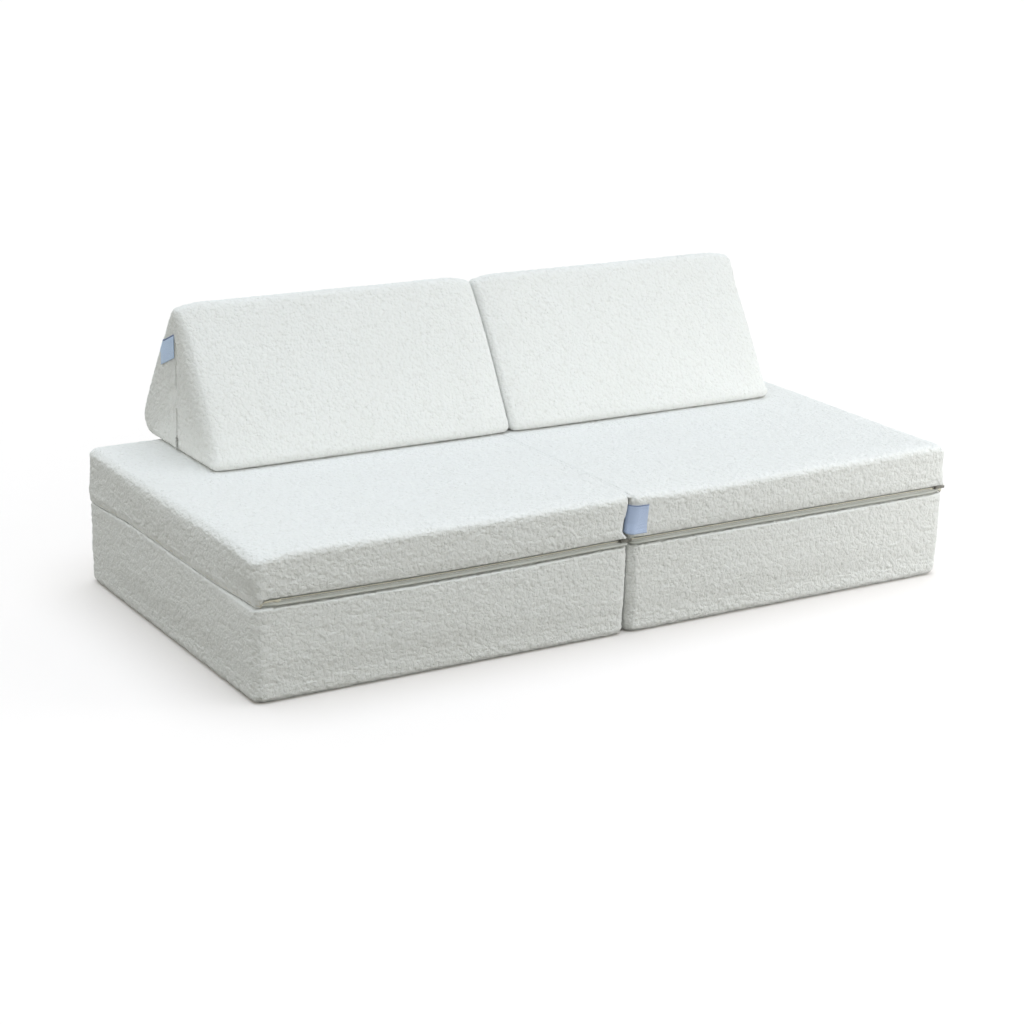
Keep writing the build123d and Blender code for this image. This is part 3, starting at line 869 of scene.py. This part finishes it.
def outlineShares(shape):  # once round a half, in order
    xs = sideShares(halfLength - shape["gap"] / 2, shape["corner"], shape["step"])
    ys = sideShares(backY - frontY, shape["corner"], shape["step"])
    return ([(x, 0) for x in xs[:-1]] + [(1, y) for y in ys[:-1]]
            + [(x, 1) for x in reversed(xs[1:])] + [(0, y) for y in reversed(ys[1:])])


def ringBody(shares, rows, place):  # a closed form from rings of the same outline
    bm = emptyMesh()
    bmesh.ops.create_circle(bm, segments=len(shares), radius=1)
    bm.verts.ensure_lookup_table()
    order = bm.verts.layers.int.new("order")
    for i, vert in enumerate(bm.verts):
        vert[order] = i
        vert.co = place(rows[0], *shares[i])
    loop = list(bm.edges)
    for row in rows[1:]:
        grown = bmesh.ops.extrude_edge_only(bm, edges=loop)["geom"]
        fresh = {v for v in grown if isinstance(v, bmesh.types.BMVert)}
        loop = [e for e in grown if isinstance(e, bmesh.types.BMEdge) and all(v in fresh for v in e.verts)]
        for vert in fresh:
            vert.co = place(row, *shares[vert[order]])
    bmesh.ops.recalc_face_normals(bm, faces=bm.faces)
    return bm


trayRows = (
    (3.0, 12.1, 1.0), (7.0, 12.1, 1.0), (8.2, 11.6, 0.9), (8.4, 10.0, 0.5), (7.4, 9.0, 0.12), (5.6, 8.8, 0.12),
    (4.0, 9.0, 0.12), (1.6, 9.9, 0.2), (0.2, 12.2, 0.3), (0.0, 16.0, 0.6), (0.0, 30.0, 1.0),
)
trayLip = 7.4 * mm  # how far the lining bulges out below the front zip

for half, side in sides.items():
    rows = []
    for rise, inset, foldShare in trayRows:
        row = drawnRow(cushionHalf, rise * mm)
        row.update(inset=inset * mm, foldShare=foldShare, gap=cushionHalf["gap"] / 2)
        rows.append(row)

    def trayPoint(row, alongX, alongY):
        point = blockPoint(side, cushionFloor, row, alongX, alongY)
        rise = row["rise"]
        if point.y < frontY + 20 * mm and row["inset"] < 12 * mm:
            full = smoothStep(rise, -1 * mm, 2.5 * mm) * (1 - smoothStep(rise, 5.6 * mm, 8.5 * mm))
            point.y -= trayLip * full * (1 - smoothStep(abs(point.x), 0.802, 0.82))
        point.z += sagAt(*point)
        tuck = 1 - smoothStep(hypot(point.x + halfLength, point.y - frontY), 0.02, cornerTuck["reach"])
        if point.x + halfLength < 0.05:
            point.x += cornerTuck["depth"] * tuck
        return point

    tray = toObject(ringBody(outlineShares(cushionHalf), rows, trayPoint), f"cushion_{half}_lining")
    softened(tray, 1)
    finishPiece(tray, liningFinish, "cushion", [f"cushion_{half}_bottom_panel"])


def flatPanel(name, low, high, corner, lift, thickness, material, body, node):
    bm = emptyMesh()
    bmesh.ops.create_cube(bm, size=1)
    size = Vector(high) - Vector(low)
    middle = (Vector(high) + Vector(low)) / 2
    bmesh.ops.scale(bm, vec=size, verts=bm.verts)
    bmesh.ops.translate(bm, vec=middle, verts=bm.verts)
    if corner:
        upright = [e for e in bm.edges if abs(e.verts[0].co.z - e.verts[1].co.z) > thickness / 2]
        bmesh.ops.bevel(bm, geom=upright, offset=corner, segments=5, profile=0.5, affect="EDGES", material=-1)
    rims = [e for e in bm.edges if abs(e.verts[0].co.z - e.verts[1].co.z) < lift]
    bmesh.ops.bevel(bm, geom=rims, offset=thickness * 0.3, segments=2, profile=0.5, affect="EDGES", material=-1)
    bmesh.ops.recalc_face_normals(bm, faces=bm.faces)
    panel = toObject(bm, name, smooth=False)
    finishPiece(panel, material, body, [node])
    return panel


for half, side in sides.items():
    low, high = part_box(f"base_{half}_bottom_panel")
    panel = flatPanel(f"base_{half}_underside", low, high, 12 * mm, 0.1 * mm, 3 * mm, liningFinish,
                      f"base_{half}", f"base_{half}_bottom_panel")
    low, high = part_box(f"base_{half}_fold_leaf")
    leaf = flatPanel(f"base_{half}_hinge_cloth", low, high, 0, 0.1 * mm, 1.2 * mm, liningFinish,
                     f"base_{half}", f"base_{half}_fold_leaf")


def foldStrip():  # bouclé that bridges the halves, a little lower than the tops
    low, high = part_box("cushion_fold_strip")
    bm = emptyMesh()
    count = 260
    bmesh.ops.create_grid(bm, x_segments=4, y_segments=count, size=1)
    for vert in bm.verts:
        across, along = vert.co.x, (vert.co.y + 1) / 2
        y = low.y - 12 * mm + along * (high.y - low.y + 24 * mm)
        z = high.z + 3.9 * mm - 0.9 * mm * abs(across) - 5 * mm * (1 - smoothStep(y, low.y - 6 * mm, low.y + 26 * mm))
        vert.co = Vector((across * 5.2 * mm, y, z))
    grown = bmesh.ops.extrude_face_region(bm, geom=bm.faces)["geom"]
    under = [v for v in grown if isinstance(v, bmesh.types.BMVert)]
    bmesh.ops.translate(bm, vec=(0, 0, -3.4 * mm), verts=under)
    for vert in under:
        vert.co.x *= 0.45
    bmesh.ops.recalc_face_normals(bm, faces=bm.faces)
    strip = toObject(bm, "cushion_fold_boucle")
    raiseCurls(strip, lambda point, way: 0.7)
    finishPiece(strip, woolFinish, "cushion", ["cushion_fold_strip"])


foldStrip()
print("linings and fold made")


# back pillows: rings of a rounded triangle along the pillow, and closed ends

backPillow = {
    "depth": 415 * mm,
    "rise": 331 * mm,
    "frontEdge": 14 * mm,
    "backEdge": 40 * mm,
    "apexEdge": 24 * mm,
    "endEdge": 14 * mm,
    "endDraw": 4 * mm,
    "endTaper": 70 * mm,
    "swell": 6 * mm,
    "step": 12 * mm,
    "ringStep": 11.5 * mm,
    "zipOffset": 10 * mm,
}
pillowY = pillowHigh.y - 0.0
pillowFloor = pillowLow.z
slope = atan2(backPillow["rise"], backPillow["depth"] / 2)


def pillowSection(inset, draw, sideCount, bottomCount):
    half = backPillow["depth"] / 2
    face = inset + draw
    foot = half - (face + inset * cos(slope)) / sin(slope)
    apex = (half * sin(slope) - face) / cos(slope)
    corners = [Vector((-foot, inset)), Vector((foot, inset)), Vector((0, apex))]
    radii = [max(backPillow[key] - inset, 2 * mm) for key in ("frontEdge", "backEdge", "apexEdge")]
    side = (corners[2] - corners[1]).length
    lean = 4 * backPillow["swell"] / side  # how far the bowed faces lean out at their ends
    leans = ((lean, 0), (0, lean), (lean, lean))
    arcs = []
    for i, corner in enumerate(corners):
        before = Matrix.Rotation(leans[i][0], 2) @ (corners[i - 1] - corner).normalized()
        after = Matrix.Rotation(-leans[i][1], 2) @ (corners[(i + 1) % 3] - corner).normalized()
        opening = before.angle(after)
        reach = min(radii[i] / tan(opening / 2), 0.45 * (corners[i - 1] - corner).length,
                    0.45 * (corners[(i + 1) % 3] - corner).length)
        radius = reach * tan(opening / 2)
        centre = corner + (before + after).normalized() * (radius / sin(opening / 2))
        start = corner + before * reach - centre
        turn = pi - opening
        arc = []
        for k in range(7):
            arc.append(centre + Matrix.Rotation(turn * k / 6, 2) @ start)
        arcs.append(arc)
    outline = []
    for i, count in enumerate((bottomCount, sideCount, sideCount)):
        outline += arcs[i]
        start, end = arcs[i][-1], arcs[(i + 1) % 3][0]
        run = end - start
        bow = 0 if i == 0 else backPillow["swell"] * (run.length / side) ** 2
        outward = Vector((run.y, -run.x)).normalized()
        for k in range(1, count):
            share = k / count
            outline.append(start + run * share + outward * bow * 4 * share * (1 - share))
    return outline


def pillowStations(length):
    edge, taper = backPillow["endEdge"], backPillow["endTaper"]
    near = []
    for turn in (0, 28, 54, 76, 90):
        angle = radians(turn)
        near.append((edge * (1 - cos(angle)), edge * (1 - sin(angle)), backPillow["endDraw"]))
    for k in range(1, 6):
        share = k / 5
        near.append((edge + (taper - edge) * share, 0.0, backPillow["endDraw"] * (1 - share) ** 2))
    count = round((length - 2 * taper) / backPillow["step"])
    middle = [(taper + (length - 2 * taper) * k / count, 0.0, 0.0) for k in range(1, count)]
    return near + middle + [(length - place, inset, draw) for place, inset, draw in reversed(near)]


def pillowMesh(name, left, length, centreY, zipAtLeft, sculpt):
    stations = pillowStations(length)
    sideCount, bottomCount = 25, 24
    rings = []
    depths = [backPillow["ringStep"] * k for k in range(1, 8)]
    endRings = [(0.0, backPillow["endEdge"] + deep, backPillow["endDraw"]) for deep in reversed(depths)]
    for place, inset, draw in endRings + stations + [(length, i, d) for _, i, d in reversed(endRings)]:
        rings.append((place, pillowSection(inset, draw, sideCount, bottomCount)))
    bm = emptyMesh()
    order = bm.verts.layers.int.new("order")
    bmesh.ops.create_circle(bm, segments=len(rings[0][1]), radius=1)
    for i, vert in enumerate(bm.verts):
        vert[order] = i
    loop = list(bm.edges)

    def setRing(verts, ring):
        place, outline = ring
        for vert in verts:
            spot = outline[vert[order]]
            vert.co = Vector((left + place, centreY + spot.x, pillowFloor + spot.y))

    setRing(bm.verts, rings[0])
    for ring in rings[1:]:
        grown = bmesh.ops.extrude_edge_only(bm, edges=loop)["geom"]
        fresh = {v for v in grown if isinstance(v, bmesh.types.BMVert)}
        loop = [e for e in grown if isinstance(e, bmesh.types.BMEdge) and all(v in fresh for v in e.verts)]
        setRing(fresh, ring)
    bmesh.ops.recalc_face_normals(bm, faces=bm.faces)
    endX = left if zipAtLeft else left + length
    seamY = centreY - backPillow["zipOffset"]
    lowZ, highZ = pillowFloor + 22 * mm, pillowFloor + 234 * mm
    for way, spots in (
        ((0, 1, 0), (seamY - 4.6 * mm, seamY - 3.7 * mm, seamY + 3.7 * mm, seamY + 4.6 * mm)),
        ((0, 0, 1), (lowZ - 1 * mm, lowZ, highZ, highZ + 1 * mm)),
    ):
        for spot in spots:
            faces = [f for f in bm.faces if all(abs(v.co.x - endX) < 0.1 * mm for v in f.verts)]
            edges = {e for f in faces for e in f.edges}
            verts = {v for f in faces for v in f.verts}
            place = (0, spot, 0) if way[1] else (0, 0, spot)
            bmesh.ops.bisect_plane(bm, geom=list(verts) + list(edges) + faces, dist=0.01 * mm,
                                   plane_co=place, plane_no=way)
    slot = [f for f in bm.faces if abs(f.calc_center_median().x - endX) < 0.1 * mm
            and abs(f.calc_center_median().y - seamY) < 3.7 * mm
            and lowZ < f.calc_center_median().z < highZ]
    grown = bmesh.ops.extrude_face_region(bm, geom=slot)["geom"]
    bmesh.ops.delete(bm, geom=slot, context="FACES")
    sunk = [v for v in grown if isinstance(v, bmesh.types.BMVert)]
    bmesh.ops.translate(bm, vec=(5.8 * mm * (1 if zipAtLeft else -1), 0, 0), verts=sunk)
    for vert in bm.verts:
        vert.co += sculpt(vert.co, endX)
    return toObject(bm, name)


endFolds = {"reach": 0.06, "height": 3.2 * mm, "spacing": 36 * mm}
endRoll = {"least": 14 * mm, "more": 20 * mm}


def rolledEdge(point, endX, centreY):  # the front face turns softly into the outer end
    half = backPillow["depth"] / 2
    forward, up = point.y - centreY + half, point.z - pillowFloor
    along = (forward * cos(slope) + up * sin(slope)) * cos(slope) / half
    if not 0 < along < 1:
        return Vector((0, 0, 0))
    radius = endRoll["least"] + endRoll["more"] * smoothStep(along, 0.0, 0.14) * (1 - smoothStep(along, 0.72, 0.98))
    deep = forward * sin(slope) - up * cos(slope) + 4 * backPillow["swell"] * along * (1 - along)
    inside = abs(point.x - endX)
    if deep >= radius or inside >= radius:
        return Vector((0, 0, 0))
    gap = Vector((radius - deep, radius - inside))
    pull = gap * (1 - radius / gap.length) if gap.length > radius else Vector((0, 0))
    way = 1 if endX < 0 else -1
    return Vector((way * pull.y, pull.x * sin(slope), -pull.x * cos(slope)))


def sculptPillow(point, endX, centreY, folded):
    x, y, z = point
    move = rolledEdge(point, endX, centreY)
    wave = noise.noise_vector(Vector((x * 5.0, y * 5.0, z * 5.0)) + Vector((3.3, 1.9, 4.7)))
    high = smoothStep(z, pillowFloor + 0.01, pillowFloor + 0.05)
    move += wave * 1.5 * mm * high * smoothStep(abs(x - endX), 0.0, 0.05)
    if folded and abs(x - endX) < 9 * mm:
        seamY = centreY - backPillow["zipOffset"]
        behind = y - seamY - 5 * mm
        if behind > 0:
            fade = smoothStep(z, pillowFloor + 0.03, pillowFloor + 0.09) * (
                1 - smoothStep(z, pillowFloor + 0.14, pillowFloor + 0.19))
            fade *= exp(-behind / endFolds["reach"])
            move.x -= endFolds["height"] * sin(2 * pi * behind / endFolds["spacing"]) * fade
    return move


pillowMiddleY = pillowHigh.y
pillows = {"left": (pillowLow, pillowHigh), "right": (pillowFarLow, pillowFarHigh)}
for half, (low, high) in pillows.items():
    centreY = (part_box(f"pillow_{half}_zip_teeth")[0].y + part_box(f"pillow_{half}_zip_teeth")[1].y) / 2 + backPillow["zipOffset"]
    folded = half == "left"
    cover = pillowMesh(f"pillow_{half}_boucle", low.x, high.x - low.x, centreY, folded,
                       lambda point, endX: sculptPillow(point, endX, centreY, folded))
    foamInside(cover.data, f"pillow_{half}_foam", f"pillow_{half}")
    softened(cover, 2)
    endX = low.x if folded else high.x

    def pillowPile(point, way):
        if abs(point.x - endX) < 6.5 * mm and abs(point.y - centreY + backPillow["zipOffset"]) < 3.9 * mm:
            if pillowFloor + 21 * mm < point.z < pillowFloor + 235 * mm:
                return 0.0
        other = high.x if folded else low.x
        if abs(point.x - other) < 4 * mm:
            return 0.3
        free = 1 - 0.55 * smoothStep(-way.y, 0.3, 0.8)
        return free * (0.1 + 0.9 * smoothStep(point.z, pillowFloor + 0.5 * mm, pillowFloor + 5 * mm))

    raiseCurls(cover, pillowPile)
    finishPiece(cover, woolFinish, f"pillow_{half}", [f"pillow_{half}_cover"])
    print("pillow", half, len(cover.data.polygons), "faces")


# zips: two cloth tapes and two rows of separate teeth

zipLook = {"pitch": 2.5 * mm, "tooth": 1.5 * mm, "inner": 0.45 * mm, "outer": 2.2 * mm}


def zipFrame(unit):  # middle, direction along, outward, across and length of a zip, from its CAD teeth
    low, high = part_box(f"{unit}_zip_teeth")
    middle = (low + high) / 2
    if unit.startswith("pillow"):
        outward = Vector((-1 if unit.endswith("left") else 1, 0, 0))
        return middle, Vector((0, 0, 1)), outward, Vector((0, 1, 0)), high.z - low.z
    outward = Vector((0, -1 if unit.startswith("cushion") else 1, 0))
    return middle, Vector((1, 0, 0)), outward, Vector((0, 0, 1)), high.x - low.x


def zipSag(unit, point):
    return Vector((0, 0, sagAt(point.x, point.y, cushionFloor))) if unit == "cushion_left" else Vector((0, 0, 0))


def zipTeeth(unit, body):
    middle, along, outward, across, length = zipFrame(unit)
    bm = emptyMesh()
    count = int(length / zipLook["pitch"])
    for row, way in enumerate((-1, 1)):
        for i in range(count):
            place = -length / 2 + (i + 0.5 * row + 0.25) * zipLook["pitch"]
            reach = (zipLook["inner"] + zipLook["outer"]) / 2
            spot = middle + along * place + across * way * reach
            spot += zipSag(unit, spot)
            shape = Matrix((along * zipLook["tooth"], across * (zipLook["outer"] - zipLook["inner"]),
                            outward * 1.6 * mm)).transposed().to_4x4()
            bmesh.ops.create_cube(bm, size=1, matrix=Matrix.Translation(spot) @ shape)
    top = [e for e in bm.edges
           if all(outward.dot(v.co - middle - zipSag(unit, v.co)) > 0.6 * mm for v in e.verts)]
    bmesh.ops.bevel(bm, geom=top, offset=0.35 * mm, segments=1, profile=0.5, affect="EDGES", material=-1)
    bmesh.ops.recalc_face_normals(bm, faces=bm.faces)
    teeth = toObject(bm, f"{unit}_teeth", smooth=False)
    pale = unit.startswith("pillow")
    finishPiece(teeth, paleTapeFinish if pale else teethFinish, body, [f"{unit}_zip_teeth"])


def zipTape(unit, body):
    middle, along, outward, across, length = zipFrame(unit)
    low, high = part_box(f"{unit}_zip_tape")
    wide = abs(across.dot(high - low)) / 2
    long = abs(along.dot(high - low)) / 2
    tape = emptyMesh()
    level = ((low + high) / 2 - middle).dot(outward)
    for way in (-1, 1):
        inner, outer = 2.25 * mm, wide
        got = bmesh.ops.create_grid(tape, x_segments=64, y_segments=2, size=1)["verts"]
        for vert in got:
            place = middle + along * vert.co.x * long + outward * level
            spread = inner + (outer - inner) * (vert.co.y + 1) / 2
            vert.co = place + across * way * spread
            vert.co += zipSag(unit, vert.co)
    obj = toObject(tape, f"{unit}_tape", smooth=False)
    wall = obj.modifiers.new("Cloth", "SOLIDIFY")
    wall.thickness = 0.6 * mm
    wall.offset = 0
    applied(obj)
    pale = unit.startswith("pillow")
    finishPiece(obj, paleTapeFinish if pale else tapeFinish, body, [f"{unit}_zip_tape"])


units = {
    "base_left": "base_left", "base_right": "base_right", "cushion_left": "cushion",
    "cushion_right": "cushion", "pillow_left": "pillow_left", "pillow_right": "pillow_right",
}
for unit, body in units.items():
    zipTape(unit, body)
    zipTeeth(unit, body)
    metal = lightMetal if unit.startswith("pillow") else darkMetal
    for part in ("slider", "pull"):
        node = frame["nodes"][f"{unit}_zip_{part}"]
        node.data.materials.clear()
        node.data.materials.append(metal)
print("zips made")


# tags: blank cloth labels with a turned edge

def tagPiece(name, node, body, place, across, along, hem, finish):
    bm = emptyMesh()
    height = bm.verts.layers.float.new("hem")
    bmesh.ops.create_grid(bm, x_segments=across, y_segments=along, size=1)
    for vert in bm.verts:
        vert[height] = (vert.co.y + 1) / 2
        vert.co = place((vert.co.x + 1) / 2, (vert.co.y + 1) / 2)
    bmesh.ops.recalc_face_normals(bm, faces=bm.faces)
    tag = toObject(bm, name)
    wall = tag.modifiers.new("Cloth", "SOLIDIFY")
    wall.thickness = 0.8 * mm
    wall.offset = 0
    applied(tag)
    finishPiece(tag, finish, body, [node])
    tag.data.materials.append(tagEdgeFinish)
    rows = tag.data.attributes["hem"].data
    for polygon in tag.data.polygons:
        if all(rows[v].value > 1 - hem for v in polygon.vertices):
            polygon.material_index = 1
    return tag


cushionTag = {"front": 38 * mm, "wrap": 20 * mm, "off": 1.6 * mm, "curl": 1.2 * mm}


def cushionTagPoint(shareAcross, shareUp):  # round the right half's front corner
    low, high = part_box("cushion_tag")
    z = low.z + shareUp * (high.z - low.z)
    rise = z - cushionFloor
    row = drawnRow(cushionHalf, rise)
    inner = cushionHalf["gap"] / 2 + row["inset"] * row["foldShare"]
    front = frontY + row["inset"] + row["swell"] * 0.95
    corner = row["corner"]
    wrap = cushionTag["wrap"] - corner
    arc = corner * pi / 2
    length = wrap + arc + cushionTag["front"] - corner
    place = shareAcross * length
    off = cushionTag["off"] + cushionTag["curl"] * (abs(2 * shareUp - 1) ** 6)
    if place < wrap:
        point = Vector((inner - off, front + corner + wrap - place, z))
    elif place < wrap + arc:
        turn = (place - wrap) / corner
        point = Vector((inner + corner - (corner + off) * cos(turn), front + corner - (corner + off) * sin(turn), z))
    else:
        point = Vector((inner + corner + place - wrap - arc, front - off, z))
    return point + sculptCushion(1, point)


tagPiece("cushion_blue_tag", "cushion_tag", "cushion", cushionTagPoint, 30, 32, 0.04, tagFinish)


def pillowTagPoint(shareAcross, shareUp):
    low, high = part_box("pillow_left_tag")
    seamY = low.y + 0.2 * mm
    y = seamY + shareAcross * (high.y - low.y - 2 * mm)
    droop = tan(radians(23)) * (y - seamY)
    z = pillowFloor + 226 * mm + (shareUp - 0.5) * 50 * mm - droop
    centre = seamY + backPillow["zipOffset"] - 4 * mm
    rise = z - pillowFloor
    edge = backPillow["endEdge"]
    slopeY = centre + (backPillow["rise"] - backPillow["endDraw"] / cos(slope) - rise) / tan(slope)
    past = y - (slopeY - edge / sin(slope))
    off = 1.7 * mm
    if past <= 0:
        return Vector((low.x + 0.9 * mm - off, y, z))
    turn = min(past / edge, 1.35)
    return Vector((low.x + 0.9 * mm + edge - (edge + off) * cos(turn), slopeY - edge + (edge + off) * sin(turn), z))


# the pillow's tag takes the lighter copy of the blue label, which is painted light
tagPiece("pillow_blue_tag", "pillow_left_tag", "pillow_left", pillowTagPoint, 30, 30, 0.07, lighterPaintedTagFinish)
print("tags made")
